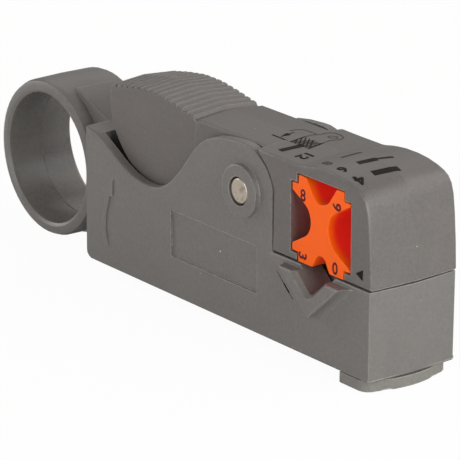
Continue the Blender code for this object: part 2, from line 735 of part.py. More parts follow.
def make_cover(nodes, cutters, finishes):
    """Cover of the cartridge, with the foot under the body's front end."""
    top = -SEAT_GAP
    low = top - FOOT_THICK
    foot = foot_outline()
    small = inset(foot, [FOOT_RIM] * len(foot))
    solid = loft([(low, small), (low + FOOT_RIM, foot), (top, foot)], "Z")
    cover = finish("cartridge_cover", solid, nodes, finishes["grey_plastic"])
    plug = block(
        POCKET_REAR + SEAT_GAP, POCKET_FRONT - SEAT_GAP, -POCKET_HALF + SEAT_GAP, POCKET_HALF - SEAT_GAP,
        0.0, COVER_THICK,
    )
    combine(cover, finish("cover_plug", plug, cutters), "UNION")
    step = block(FOOT_REAR + 0.2, POCKET_FRONT - SEAT_GAP - 0.1, -6.8, 6.8, top - 0.5, COVER_THICK - 0.1)
    combine(cover, finish("cover_step", step, cutters), "UNION")
    tab = block(POCKET_REAR - TAB_LONG, POCKET_REAR + 1.0, -TAB_HALF, TAB_HALF, 0.5, COVER_THICK - 0.05)
    combine(cover, finish("cover_tab", tab, cutters), "UNION")
    for i in range(3):
        y = (i - 1) * BLADE_PITCH
        hole = rod((CABLE_X, y), SOCKET_R + 0.4, -3.0, 3.0, "Z", 20)
        combine(cover, finish(f"key_hole_{i + 1}", hole, cutters), "DIFFERENCE")
    for i, side in enumerate((-1, 1)):
        y = side * FOOT_SCREW_Y
        gap = SEAT_GAP
        sink = [
            (0.0, low - 1.0), (FOOT_HEAD_R + gap, low - 1.0), (FOOT_HEAD_R + gap, low + 0.1),
            (SCREW_R + gap, low + 1.0), (SCREW_R + gap, 1.0), (0.0, 1.0),
        ]
        bm = spun(sink, (FOOT_SCREW_X, y), "Z", 20)
        combine(cover, finish(f"sink_{i + 1}", bm, cutters), "DIFFERENCE")
        profile = [
            (0.0, low + 0.1), (FOOT_HEAD_R, low + 0.1), (FOOT_HEAD_R, low + 0.3), (SCREW_R, low + 1.2),
            (SCREW_R, FOOT_SCREW_TIP - 0.7), (0.3, FOOT_SCREW_TIP), (0.0, FOOT_SCREW_TIP),
        ]
        bm = spun(profile, (FOOT_SCREW_X, y), "Z", 24)
        finish(f"cover_screw_{i + 1}", bm, nodes, finishes["steel"], (FOOT_SCREW_X, y, low))
    return cover


def main():
    """Build every piece of the tool."""
    clear_scene()
    nodes = make_collection("coaxial_cable_stripper")
    cutters = make_collection("cutters")
    finishes = make_materials()
    make_body(nodes, cutters, finishes)
    make_arm(nodes, cutters, finishes)
    make_cassette(nodes, finishes)
    make_pin(nodes, finishes)
    make_spring(nodes, finishes)
    make_cartridge(nodes, cutters, finishes)
    make_blades(nodes, cutters, finishes)
    make_cover(nodes, cutters, finishes)


main()
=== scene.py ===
"""Looks of a rotary coaxial cable stripper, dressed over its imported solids.

Lengths in the sub-assemblies are millimetres of the tool's drawing: x from the body's rear face
towards the jaw, y across the tool, z up from the body's underside. `at` turns them into the row
frame's metres. Materials read the row frame too, in millimetres.
"""
import json
import logging
import math
from contextlib import contextmanager
from dataclasses import dataclass, field
from enum import Enum
from functools import cache
from typing import Callable, Iterator

import bpy
from mathutils import Matrix, Vector

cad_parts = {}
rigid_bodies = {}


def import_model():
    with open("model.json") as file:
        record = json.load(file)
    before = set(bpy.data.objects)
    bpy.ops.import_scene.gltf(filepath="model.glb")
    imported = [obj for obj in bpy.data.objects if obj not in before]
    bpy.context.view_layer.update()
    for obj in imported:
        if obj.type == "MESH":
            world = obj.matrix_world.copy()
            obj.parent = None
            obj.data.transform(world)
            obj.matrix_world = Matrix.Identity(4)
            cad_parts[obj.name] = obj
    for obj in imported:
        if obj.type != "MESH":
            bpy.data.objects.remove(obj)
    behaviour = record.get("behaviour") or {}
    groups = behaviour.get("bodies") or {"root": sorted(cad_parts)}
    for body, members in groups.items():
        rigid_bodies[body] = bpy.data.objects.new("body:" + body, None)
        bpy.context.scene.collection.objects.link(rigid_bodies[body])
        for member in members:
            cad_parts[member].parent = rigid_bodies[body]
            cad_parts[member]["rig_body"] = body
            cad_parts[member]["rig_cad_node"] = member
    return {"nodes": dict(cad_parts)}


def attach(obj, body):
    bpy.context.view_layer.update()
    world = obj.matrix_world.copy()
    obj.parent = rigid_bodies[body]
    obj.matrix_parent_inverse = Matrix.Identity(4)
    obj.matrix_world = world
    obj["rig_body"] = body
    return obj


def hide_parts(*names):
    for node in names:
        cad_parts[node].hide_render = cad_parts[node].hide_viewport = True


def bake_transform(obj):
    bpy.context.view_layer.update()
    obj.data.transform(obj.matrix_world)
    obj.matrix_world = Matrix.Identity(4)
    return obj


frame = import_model()

LOG = logging.getLogger("cable_stripper")
MM = 0.001

# The drawing's origin in the row frame
REAR_FACE_X = -24.525
UNDERSIDE_Z = 2.0

# Places in x and z, and sizes, that both a finish and a sub-assembly need
RING_PLACE = (-15.65, 14.3)
RING_HOLE = 11.8
CASSETTE_PLACE = (65.95, 23.7)
CASSETTE_HALF_WIDTH = 7.5
CASSETTE_HALF_LENGTH = 9.15

# Smoothing of the solids: the distance in metres within which points merge, then angles in degrees
MERGED_WITHIN = 0.000002
FLAT_WITHIN = 0.25
QUAD_FLAT_WITHIN = 1.0
QUAD_SKEW_WITHIN = 175.0
CREASE = 32.0
CREASE_ONCE_ROUNDED = 46.0

# How far a point may lie off a plane and still belong to it
ON_PLANE = 0.02

# Ink: how thick it is laid on, how thick on a flat face, and how far it reaches for a curved one
INK_THICKNESS = 0.03
FLAT_INK_THICKNESS = 0.02
INK_REACH = 15.0

# Height of a digit as a share of the font's size
DIGIT_SHARE = 0.7

WHITE = (1, 1, 1, 1)

Colour = tuple[float, float, float]
Point = tuple[float, float, float]


class Side(Enum):
    """Side of the tool on which a detail lies, as the sign of y."""

    NEAR = -1
    FAR = 1


class Pick(Enum):
    """What edit mode selects."""

    POINTS = "VERT"
    FACES = "FACE"


class Facing(Enum):
    """Axis along which a print is laid on its face."""

    UP = "Z"
    SIDEWAYS = "Y"


def in_row(x: float, z: float) -> tuple[float, float]:
    """Place along x and height of a point of the drawing, in the row frame's millimetres."""
    return x + REAR_FACE_X, z + UNDERSIDE_Z


def at(x: float, y: float, z: float) -> Vector:
    """Place in the row frame, in metres, of a point of the drawing.

    Args:
        x: Distance from the body's rear face.
        y: Distance across from the middle plane.
        z: Height over the body's underside.

    Returns:
        The point as a vector.
    """
    along, height = in_row(x, z)
    return Vector((along * MM, y * MM, height * MM))


def linear(colour: Colour) -> tuple[float, float, float, float]:
    """Scene-linear colour of a screen colour.

    Args:
        colour: Red, green and blue from 0 to 255.

    Returns:
        Linear red, green, blue and an alpha of one.
    """
    parts = [c / 255 for c in colour]
    return (*(p / 12.92 if p <= 0.04045 else ((p + 0.055) / 1.055) ** 2.4 for p in parts), 1.0)


# ---------------------------------------------------------------- shader trees


class Wire:
    """One value in a shader tree. Arithmetic on it adds Math nodes."""

    def __init__(self, tree: "ShaderTree", socket: bpy.types.NodeSocket) -> None:
        """Keep where the value comes from.

        Args:
            tree: The tree that holds it.
            socket: The output that gives it.
        """
        self.tree = tree
        self.socket = socket

    def _math(self, operation: str, first: "Wire | float", second: "Wire | float") -> "Wire":
        """Value of a Math node on two operands."""
        return self.tree.value("ShaderNodeMath", {"operation": operation}, {0: first, 1: second})

    def __add__(self, other: "Wire | float") -> "Wire":
        """Sum."""
        return self._math("ADD", self, other)

    def __radd__(self, other: float) -> "Wire":
        """Sum with a number on the left."""
        return self._math("ADD", other, self)

    def __sub__(self, other: "Wire | float") -> "Wire":
        """Difference."""
        return self._math("SUBTRACT", self, other)

    def __rsub__(self, other: float) -> "Wire":
        """Difference from a number."""
        return self._math("SUBTRACT", other, self)

    def __mul__(self, other: "Wire | float") -> "Wire":
        """Product."""
        return self._math("MULTIPLY", self, other)

    def __rmul__(self, other: float) -> "Wire":
        """Product with a number on the left."""
        return self._math("MULTIPLY", other, self)

    def __abs__(self) -> "Wire":
        """Size without the sign."""
        return self._math("ABSOLUTE", self, 0.0)

    def largest(self, other: "Wire | float") -> "Wire":
        """The larger of two values."""
        return self._math("MAXIMUM", self, other)

    def rising(self, low: float, high: float) -> "Wire":
        """Smooth step.

        Args:
            low: Value below which the result is zero.
            high: Value above which the result is one.

        Returns:
            The step as a value.
        """
        settings = {"interpolation_type": "SMOOTHSTEP", "clamp": True}
        inputs = {0: self, 1: low, 2: high, 3: 0.0, 4: 1.0}
        return self.tree.value("ShaderNodeMapRange", settings, inputs)


class ShaderTree:
    """Node tree of one material, or of the world."""

    def __init__(self, tree: bpy.types.NodeTree) -> None:
        """Empty the tree for new nodes."""
        self.tree = tree
        self.tree.nodes.clear()

    @classmethod
    def for_material(cls, name: str) -> tuple["ShaderTree", bpy.types.Material]:
        """Start a new material.

        Args:
            name: The material's name.

        Returns:
            Its empty tree, and the material.
        """
        material = bpy.data.materials.new(name)
        material.use_nodes = True
        return cls(material.node_tree), material

    def add(self, kind: str, settings: dict | None = None, inputs: dict | None = None) -> bpy.types.Node:
        """Add a node.

        Args:
            kind: The node's type.
            settings: The node's own settings, set first.
            inputs: Values or wires of its sockets, by name or number.

        Returns:
            The node.
        """
        node = self.tree.nodes.new(kind)
        for name, value in (settings or {}).items():
            setattr(node, name, value)
        for key, value in (inputs or {}).items():
            if isinstance(value, Wire):
                self.tree.links.new(value.socket, node.inputs[key])
            else:
                node.inputs[key].default_value = value
        return node

    def value(self, kind: str, settings: dict | None = None, inputs: dict | None = None,
              output: int | str = 0) -> Wire:
        """Add a node and give one of its outputs.

        Args:
            kind: The node's type.
            settings: The node's own settings.
            inputs: Values or wires of its sockets.
            output: Name or number of the output.

        Returns:
            The output as a wire.
        """
        return Wire(self, self.add(kind, settings, inputs).outputs[output])

    def place(self, stretch: Point = (1.0, 1.0, 1.0)) -> Wire:
        """Object coordinates in millimetres.

        Args:
            stretch: How many times finer a pattern gets along x, y and z.

        Returns:
            The coordinates.
        """
        raw = self.value("ShaderNodeTexCoord", output="Object")
        size = tuple(s / MM for s in stretch)
        return self.value("ShaderNodeVectorMath", {"operation": "MULTIPLY"}, {0: raw, 1: size})

    def axis(self, place: Wire, number: int) -> Wire:
        """Coordinate along x, y or z, by the axis's number."""
        return self.value("ShaderNodeSeparateXYZ", None, {0: place}, number)

    def noise(self, place: Wire, per_mm: float, detail: float = 2.0, warp: float = 0.0) -> Wire:
        """Noise around zero.

        Args:
            place: Coordinates in millimetres.
            per_mm: Lumps in a millimetre.
            detail: Octaves.
            warp: Distortion.

        Returns:
            The noise, from about -0.5 to 0.5.
        """
        inputs = {"Vector": place, "Scale": per_mm, "Detail": detail, "Distortion": warp}
        return self.value("ShaderNodeTexNoise", None, inputs) - 0.5

    def specks(self, place: Wire, per_mm: float, radius: float, share: float) -> Wire:
        """Sparse round specks.

        Args:
            place: Coordinates in millimetres.
            per_mm: Cells in a millimetre.
            radius: Radius of a speck, in cells.
            share: Share of the cells that hold one.

        Returns:
            One on the specks and zero between them.
        """
        inputs = {"Vector": place, "Scale": per_mm}
        cells = self.add("ShaderNodeTexVoronoi", {"feature": "F1"}, inputs)
        near = 1 - Wire(self, cells.outputs["Distance"]).rising(radius * 0.5, radius)
        pick = self.value("ShaderNodeSeparateColor", None, {0: Wire(self, cells.outputs["Color"])})
        return near * pick.rising(1 - share, 1 - share + 0.01)

    def rim(self, radius: float, low: float = 0.015, high: float = 0.16) -> Wire:
        """Mask of the edges.

        Args:
            radius: Width of the edge in millimetres.
            low: Turn of the surface at which the mask starts.
            high: Turn at which it is full.

        Returns:
            One on sharp edges and zero on flat faces.
        """
        soft = self.value("ShaderNodeBevel", {"samples": 6}, {"Radius": radius * MM})
        true = self.value("ShaderNodeNewGeometry", output="Normal")
        dot = {"operation": "DOT_PRODUCT"}
        same = self.value("ShaderNodeVectorMath", dot, {0: soft, 1: true}, "Value")
        return (1 - same).rising(low, high)

    def shade(self, colour: Colour, lightness: Wire) -> Wire:
        """Colour made lighter or darker over the surface."""
        return self.value("ShaderNodeVectorMath", {"operation": "SCALE"},
                          {0: linear(colour)[:3], "Scale": lightness})

    def blend(self, share: Wire, first: Wire | Colour, second: Wire | Colour) -> Wire:
        """Mix of two colours.

        Args:
            share: Zero for the first and one for the second.
            first: A wire or a screen colour.
            second: A wire or a screen colour.

        Returns:
            The mixed colour.
        """
        ends = [c if isinstance(c, Wire) else linear(c) for c in (first, second)]
        inputs = {0: share, 6: ends[0], 7: ends[1]}
        return self.value("ShaderNodeMix", {"data_type": "RGBA"}, inputs, 2)

    def relief(self, height: Wire, depth: float) -> Wire:
        """Bumped normal of a height field whose full swing is that depth in millimetres."""
        inputs = {"Height": height, "Strength": 1.0, "Distance": depth * MM}
        return self.value("ShaderNodeBump", None, inputs)

    def mix_shader(self, share: Wire, first: Wire, second: Wire) -> Wire:
        """Mix of two shaders, zero for the first and one for the second."""
        return self.value("ShaderNodeMixShader", None, {0: share, 1: first, 2: second})

    def rays(self) -> tuple[Wire, Wire, Wire]:
        """Masks of the rays that come from the camera, a gloss or a transmission."""
        path = self.add("ShaderNodeLightPath")
        camera, gloss, through = (Wire(self, path.outputs[name])
                                  for name in ("Is Camera Ray", "Is Glossy Ray", "Is Transmission Ray"))
        return camera, gloss, through

    def surface(self, **sockets: "Wire | float | tuple") -> None:
        """Add the Principled shader and the output.

        Args:
            **sockets: The shader's sockets, with underscores for the spaces of their names.
        """
        inputs = {name.replace("_", " "): value for name, value in sockets.items()}
        shader = self.value("ShaderNodeBsdfPrincipled", None, inputs)
        self.add("ShaderNodeOutputMaterial", None, {"Surface": shader})


# ---------------------------------------------------------------- finishes


@dataclass(frozen=True)
class MouldedPlastic:
    """Spark-eroded plastic: slow flow clouds, mottle, fine grain and pits, pale edges that are partly
    rubbing and partly a painted highlight, and dust.

    Attributes:
        name: The material's name.
        colour: Screen colour of the plastic.
        worn: Screen colour of the pale edges, partly rubbing and partly a painted highlight.
        clouds: Swing of lightness of the slow clouds.
        grain: Swing of lightness of the fine grain.
        roughness: Mean roughness.
        rim: Width of the pale edges in millimetres.
        wear_and_highlight: Strength of the pale edges, rubbing and painted highlight together.
        dust: Share of the dust cells that hold a speck.
        relief: Depth of the grain in millimetres.
        bore: Place along x, height and radius, in the row frame, of a hole whose walls are smoother and
            darkened with painted shade, or None.
        dusty: Screen colour of the specks.
    """

    name: str
    colour: Colour = (109, 106, 104)
    worn: Colour = (172, 168, 162)
    clouds: float = 0.16
    grain: float = 0.24
    roughness: float = 0.4
    rim: float = 0.36
    wear_and_highlight: float = 0.78
    dust: float = 0.05
    relief: float = 0.03
    bore: Point | None = None
    dusty: Colour = (196, 190, 182)

    def bore_polish_and_shade(self, tree: ShaderTree, place: Wire) -> Wire:
        """Mask of the walls of the bore, with the draw marks of the core pin, where they are smoother and
        darkened with painted shade.

        Args:
            tree: The material's tree.
            place: Coordinates in millimetres.

        Returns:
            About one on the walls and zero elsewhere.
        """
        x, z, radius = self.bore
        along = tree.axis(place, 0) - x
        up = tree.axis(place, 2) - z
        inside = 1 - (along * along + up * up).rising((radius + 0.2) ** 2, (radius + 0.5) ** 2)
        return inside * (1 + tree.noise(tree.place((1.0, 0.05, 1.0)), 0.5, 2.0) * 0.5)

    def build(self) -> bpy.types.Material:
        """Make the material."""
        tree, material = ShaderTree.for_material(self.name)
        place = tree.place()
        cloud = tree.noise(tree.place((0.45, 1.0, 1.0)), 0.16, 4.0, 0.6)
        mottle = tree.noise(place, 1.3, 3.0)
        grain = tree.noise(place, 2.3, 2.0)
        pits = tree.noise(place, 8.0, 1.0)
        dust = tree.specks(place, 0.55, 0.085, self.dust)
        scuff = tree.noise(place, 1.6, 4.0).rising(-0.12, 0.16)
        # Pale edges: partly rubbing, partly a painted highlight along the edges
        rubbed_and_highlit = tree.rim(self.rim) * (0.35 + 0.65 * scuff) * self.wear_and_highlight
        light = 1 + cloud * self.clouds + mottle * (self.grain * 1.1) + (grain * 1.5 + pits) * self.grain
        base = tree.blend(rubbed_and_highlit, tree.shade(self.colour, light), self.worn)
        base = tree.blend(dust * 0.7, base, self.dusty)
        rough = self.roughness + mottle * 0.16 + grain * 0.10 - rubbed_and_highlit * 0.12
        if self.bore:
            polished_and_shaded = self.bore_polish_and_shade(tree, place)
            rough = rough - polished_and_shaded * 0.12
            # Painted shade: the walls of the bore are darker
            base = tree.blend(polished_and_shaded * 0.8, base, tree.shade(self.colour, 0.78 + cloud * 0.3))
        height = grain * 0.6 + pits * 0.4 + dust * 0.5
        tree.surface(Base_Color=base, Roughness=rough, Normal=tree.relief(height, self.relief),
                     Specular_IOR_Level=0.42)
        return material


@dataclass(frozen=True)
class GlossPlastic:
    """Bright plastic of a grooved prism, with painted light in its grooves: a deeper colour and a glow
    that stand in for the light that comes through.

    Attributes:
        name: The material's name.
        colour: Screen colour of the faces.
        deep: Screen colour painted inside the grooves for the light that comes through.
        worn: Screen colour of the paler edges, partly rubbing and partly a painted highlight.
        axis: Place along x and height of the prism's axis, in the row frame's millimetres.
        half_width: Half the prism's width in millimetres, out to its ridges.
        half_length: Half its length in millimetres, out to its end faces.
        ridge: Depths under the ridges, in millimetres, at which a groove is deep and at which it starts.
        mouth: Depths behind the end faces between which the painted deep colour starts.
        glow_mouth: Depths behind the end faces between which the painted glow starts.
        roughness: Mean roughness.
        glow: Strength of the painted glow that stands in for the light that comes through.
    """

    name: str
    colour: Colour
    deep: Colour
    worn: Colour
    axis: tuple[float, float]
    half_width: float
    half_length: float
    ridge: tuple[float, float] = (1.6, 0.1)
    mouth: tuple[float, float] = (2.0, 0.05)
    glow_mouth: tuple[float, float] = (0.35, 0.02)
    roughness: float = 0.36
    glow: float = 0.2

    def build(self) -> bpy.types.Material:
        """Make the material."""
        tree, material = ShaderTree.for_material(self.name)
        place = tree.place()
        cloud = tree.noise(place, 0.35, 3.0, 0.4)
        grain = tree.noise(place, 4.5, 2.0)
        end = abs(tree.axis(place, 1))
        along, up = (abs(tree.axis(place, n) - middle) for n, middle in zip((0, 2), self.axis))
        groove = 1 - along.largest(up).rising(*(self.half_width - d for d in self.ridge)) * 0.9
        # Painted light: a deeper colour inside the grooves, away from the end faces
        inside = groove * (1 - end.rising(*(self.half_length - d for d in self.mouth)))
        lit = groove * (1 - end.rising(*(self.half_length - d for d in self.glow_mouth)))
        base = tree.blend(inside, tree.shade(self.colour, 1 + cloud * 0.10 + grain * 0.05),
                          tree.shade(self.deep, 1 + cloud * 0.14 + grain * 0.05))
        # Paler edges: partly rubbing, partly a painted highlight
        pale = tree.rim(0.18) * (0.5 + grain)
        base = tree.blend(pale * 0.35, base, self.worn)
        # Painted glow: the grooves give off light of their own in place of the light that comes through
        light = tree.blend(inside, tree.shade(self.colour, 0.85 + cloud * 0.3),
                           tree.shade(self.deep, 0.9 + cloud * 0.3))
        light = tree.blend(lit, (0, 0, 0), light)
        tree.surface(Base_Color=base, Roughness=self.roughness + cloud * 0.14 + grain * 0.05,
                     Normal=tree.relief(grain, 0.006), Specular_IOR_Level=0.22,
                     Emission_Color=light, Emission_Strength=self.glow)
        return material


@dataclass(frozen=True)
class Metal:
    """Drawn, turned or ground metal with fine lines, stains and scratches.

    Attributes:
        name: The material's name.
        colour: Screen colour of the clean metal.
        stain: Screen colour of the dull patches.
        lines: Stretch of the working lines along x, y and z.
        roughness: Mean roughness.
        stained: Share of the surface that is dull.
    """

    name: str
    colour: Colour
    stain: Colour
    lines: Point = (1.0, 1.0, 1.0)
    roughness: float = 0.3
    stained: float = 0.4

    def build(self) -> bpy.types.Material:
        """Make the material."""
        tree, material = ShaderTree.for_material(self.name)
        place = tree.place()
        worked = tree.noise(tree.place(self.lines), 5.0, 3.0)
        patch = tree.noise(place, 0.9, 5.0, 0.8)
        fine = tree.noise(place, 11.0, 2.0)
        dull = patch.rising(0.12 - self.stained * 0.3, 0.34 - self.stained * 0.3)
        clean = tree.shade(self.colour, 1 + worked * 0.22 + fine * 0.1)
        base = tree.blend(dull * 0.75, clean, self.stain)
        rough = self.roughness + dull * 0.2 + worked * 0.16 + fine * 0.06
        tree.surface(Base_Color=base, Metallic=1.0, Roughness=rough,
                     Normal=tree.relief(worked * 0.7 + fine * 0.3, 0.008))
        return material


@dataclass(frozen=True)
class Ink:
    """Pad-printed ink, thinner in places.

    Attributes:
        name: The material's name.
        colour: Screen colour of the full ink.
        thin: Screen colour where it is thin.
        faded: Share of thin places.
    """

    name: str
    colour: Colour
    thin: Colour
    faded: float = 0.35

    def build(self) -> bpy.types.Material:
        """Make the material."""
        tree, material = ShaderTree.for_material(self.name)
        place = tree.place()
        patch = tree.noise(place, 1.4, 4.0).rising(0.25 - self.faded * 0.5, 0.6 - self.faded * 0.5)
        grain = tree.noise(place, 6.0, 2.0)
        base = tree.blend(patch * 0.8, tree.shade(self.colour, 1 + grain * 0.4), self.thin)
        tree.surface(Base_Color=base, Roughness=0.62 + grain * 0.2, Normal=tree.relief(grain, 0.004),
                     Specular_IOR_Level=0.18)
        return material


class Finish(Enum):
    """Every finish of the tool."""

    GREY = MouldedPlastic("grey_plastic", bore=(*in_row(*RING_PLACE), RING_HOLE))
    ARM = MouldedPlastic("arm_plastic", colour=(99, 95, 93))
    COVER = MouldedPlastic("cover_plastic", colour=(120, 117, 113), wear_and_highlight=0.8)
    ORANGE = GlossPlastic("orange_plastic", (249, 97, 6), (252, 44, 32), (255, 150, 92),
                          in_row(*CASSETTE_PLACE), CASSETTE_HALF_WIDTH, CASSETTE_HALF_LENGTH)
    BLACK = MouldedPlastic("black_plastic", colour=(48, 47, 46), worn=(92, 90, 88), dust=0.02)
    PIN = Metal("pin_steel", (196, 186, 172), (140, 130, 120), (1.0, 0.2, 1.0), 0.34)
    SPRING = Metal("spring_steel", (150, 150, 152), (96, 92, 90), (1.0, 1.0, 0.3), 0.32)
    BLADE = Metal("blade_steel", (206, 208, 210), (150, 152, 156), (0.15, 1.0, 3.0), 0.22, 0.25)
    SCREW = Metal("screw_steel", (176, 174, 170), (112, 108, 104), (1.0, 1.0, 0.3), 0.34)
    BRASS = Metal("brass", (204, 166, 96), (150, 118, 70), (0.3, 1.0, 1.0), 0.34)
    INK = Ink("printing_ink", (12, 10, 10), (50, 46, 45), 0.2)
    SOFT_INK = Ink("soft_ink", (26, 24, 23), (66, 62, 60), 0.35)
    WORN_INK = Ink("worn_ink", (62, 58, 56), (98, 94, 90), 0.5)
    CASSETTE_INK = Ink("cassette_ink", (88, 22, 38), (120, 34, 40), 0.3)
    WHITE_FLECK = Ink("white_fleck", (226, 224, 220), (190, 186, 182))
    # Painted shadow for the slit beside the cable guide, laid like ink
    SLIT_SHADOW = Ink("slit_shadow", (22, 21, 20), (40, 38, 36), 0.2)

    @cache
    def material(self) -> bpy.types.Material:
        """The finish's material, made when it is first wanted."""
        return self.value.build()


# ---------------------------------------------------------------- modelling by hand


def select_only(piece: bpy.types.Object) -> None:
    """Make one object the only one selected, and the active one."""
    bpy.ops.object.select_all(action="DESELECT")
    piece.select_set(True)
    bpy.context.view_layer.objects.active = piece


@contextmanager
def editing(piece: bpy.types.Object, pick: Pick) -> Iterator[None]:
    """Edit mode on one object, with all of it selected at first.

    Args:
        piece: The object.
        pick: What is selected in it.

    Yields:
        Nothing; the object is in edit mode meanwhile.
    """
    select_only(piece)
    bpy.ops.object.mode_set(mode="EDIT")
    bpy.ops.mesh.select_mode(type=pick.value)
    bpy.ops.mesh.select_all(action="SELECT")
    yield
    bpy.ops.object.mode_set(mode="OBJECT")


def pick_faces(piece: bpy.types.Object, wanted: Callable[[bpy.types.MeshPolygon], bool]) -> None:
    """Select some faces and nothing else, leaving the object in edit mode.

    Args:
        piece: The object, in edit mode.
        wanted: Test that picks a face.
    """
    bpy.ops.mesh.select_all(action="DESELECT")
    bpy.ops.object.mode_set(mode="OBJECT")
    for polygon in piece.data.polygons:
        polygon.select = wanted(polygon)
    bpy.ops.object.mode_set(mode="EDIT")


def apply_modifier(piece: bpy.types.Object, kind: str, **settings: object) -> None:
    """Add a modifier and apply it.

    Args:
        piece: The object.
        kind: The modifier's type.
        **settings: Its settings, by name.
    """
    select_only(piece)
    modifier = piece.modifiers.new(kind.title(), kind)
    for name, value in settings.items():
        setattr(modifier, name, value)
    bpy.ops.object.modifier_apply(modifier=modifier.name)


def settle(piece: bpy.types.Object, name: str) -> bpy.types.Object:
    """Put an object's place into its mesh and name it.

    Args:
        piece: The object.
        name: The piece's name.

    Returns:
        The same object.
    """
    select_only(piece)
    bpy.ops.object.transform_apply(location=True, rotation=True, scale=True)
    piece.name = name
    piece.data.name = name
    return piece


def dress(piece: bpy.types.Object, finish: Finish, body: str | None,
          stands_for: str | None = None) -> bpy.types.Object:
    """Give a finished piece its material and its body.

    Args:
        piece: The piece, in place.
        finish: Its finish.
        body: The body that it rides on, or None to leave it on no body.
        stands_for: The CAD node that it replaces.

    Returns:
        The piece.
    """
    piece.data.materials.clear()
    piece.data.materials.append(finish.material())
    if body:
        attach(piece, body)
    if stands_for:
        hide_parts(stands_for)
    LOG.info("%s: %d faces on %s", piece.name, len(piece.data.polygons), body or "two bodies")
    return piece


def sharpen_middle(piece: bpy.types.Object) -> None:
    """Keep the mould's parting edges in the middle plane sharp."""
    points = piece.data.vertices
    for edge in piece.data.edges:
        if all(abs((piece.matrix_world @ points[i].co).y) < ON_PLANE * MM for i in edge.vertices):
            edge.use_edge_sharp = True


def smoothed_copy(node: str, edge: float,
                  adjust: Callable[[Vector], Vector] | None = None) -> bpy.types.Object:
    """Copy of a CAD node with merged points, rounded edges and smooth curved faces.

    Args:
        node: The CAD node.
        edge: Width of the rounding in millimetres.
        adjust: Small move of each point, in the row frame.

    Returns:
        The new object, named after the node.
    """
    select_only(frame["nodes"][node])
    bpy.ops.object.duplicate()
    piece = bpy.context.active_object
    # The marks of a CAD node don't belong on its copy
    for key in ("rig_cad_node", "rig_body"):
        if key in piece:
            del piece[key]
    piece.parent = None
    piece.name = node + "_moulded"
    piece.data.name = piece.name
    with editing(piece, Pick.POINTS):
        bpy.ops.mesh.remove_doubles(threshold=MERGED_WITHIN)
        if adjust:
            bpy.ops.object.mode_set(mode="OBJECT")
            for vertex in piece.data.vertices:
                vertex.co = adjust(vertex.co)
            bpy.ops.object.mode_set(mode="EDIT")
        # Flat faces are made whole and cut afresh, so that the bevel meets no needle of the CAD's mesh
        bpy.ops.mesh.dissolve_limited(angle_limit=math.radians(FLAT_WITHIN), delimit=set())
        bpy.ops.mesh.quads_convert_to_tris()
        bpy.ops.mesh.tris_convert_to_quads(face_threshold=math.radians(QUAD_FLAT_WITHIN),
                                           shape_threshold=math.radians(QUAD_SKEW_WITHIN))
    bpy.ops.object.shade_smooth_by_angle(angle=math.radians(CREASE))
    sharpen_middle(piece)
    apply_modifier(piece, "BEVEL", width=edge * MM, segments=2, limit_method="ANGLE",
                   angle_limit=math.radians(CREASE), use_clamp_overlap=True, harden_normals=False,
                   miter_outer="MITER_ARC")
    bpy.ops.object.shade_smooth_by_angle(angle=math.radians(CREASE_ONCE_ROUNDED))
    sharpen_middle(piece)
    apply_modifier(piece, "WEIGHTED_NORMAL", keep_sharp=True, weight=60)
    return piece


def refinish(node: str, edge: float, finish: Finish, body: str,
             adjust: Callable[[Vector], Vector] | None = None) -> bpy.types.Object:
    """Replace a CAD node by its smoothed copy.

    Args:
        node: The CAD node.
        edge: Width of the rounding in millimetres.
        finish: Its finish.
        body: The body that it rides on.
        adjust: Small move of each point, in the row frame.

    Returns:
        The dressed copy.
    """
    return dress(smoothed_copy(node, edge, adjust), finish, body, node)


def raised_line(name: str, points: list[Point], width: float, proud: float | None = None,
                closed: bool = False) -> bpy.types.Object:
    """Round wire along a line, or a low rounded ridge on the tool's side.

    Args:
        name: The piece's name.
        points: The line in the drawing.
        width: Width of the wire or ridge.
        proud: How far a ridge stands proud, or None for a round wire.
        closed: Whether the line runs back into its start.

    Returns:
        The wire or ridge as a mesh.
    """
    bpy.ops.object.select_all(action="DESELECT")
    bpy.ops.curve.primitive_bezier_curve_add()
    line = bpy.context.active_object
    line.data.splines.clear()
    spline = line.data.splines.new("POLY")
    spline.points.add(len(points) - 1)
    middle = sum((at(*p) for p in points), Vector()) / len(points)
    for place, point in zip(spline.points, points):
        place.co = (*(at(*point) - middle), 1.0)
    spline.use_cyclic_u = closed
    line.data.dimensions = "3D"
    line.data.bevel_depth = width / 2 * MM
    line.data.bevel_resolution = 3
    line.data.use_fill_caps = True
    bpy.ops.object.convert(target="MESH")
    ridge = bpy.context.active_object
    if proud is not None:
        ridge.data.transform(Matrix.Diagonal((1.0, proud / (width / 2), 1.0, 1.0)))
    ridge.location = middle
    with editing(ridge, Pick.POINTS):
        bpy.ops.mesh.remove_doubles(threshold=MERGED_WITHIN / 2)
        bpy.ops.mesh.normals_make_consistent(inside=False)
    bpy.ops.object.shade_smooth_by_angle(angle=math.radians(50))
    return settle(ridge, name)


def outlined_face(outline: tuple, y: float) -> bpy.types.Object:
    """Flat face across the tool.

    Args:
        outline: Its corners in x and z.
        y: Where it lies.

    Returns:
        The face as a mesh.
    """
    bpy.ops.object.select_all(action="DESELECT")
    bpy.ops.mesh.primitive_circle_add(vertices=len(outline), radius=1.0, fill_type="NGON")
    face = bpy.context.active_object
    for vertex, (x, z) in zip(face.data.vertices, outline):
        vertex.co = at(x, y, z)
    face.data.update()
    return face


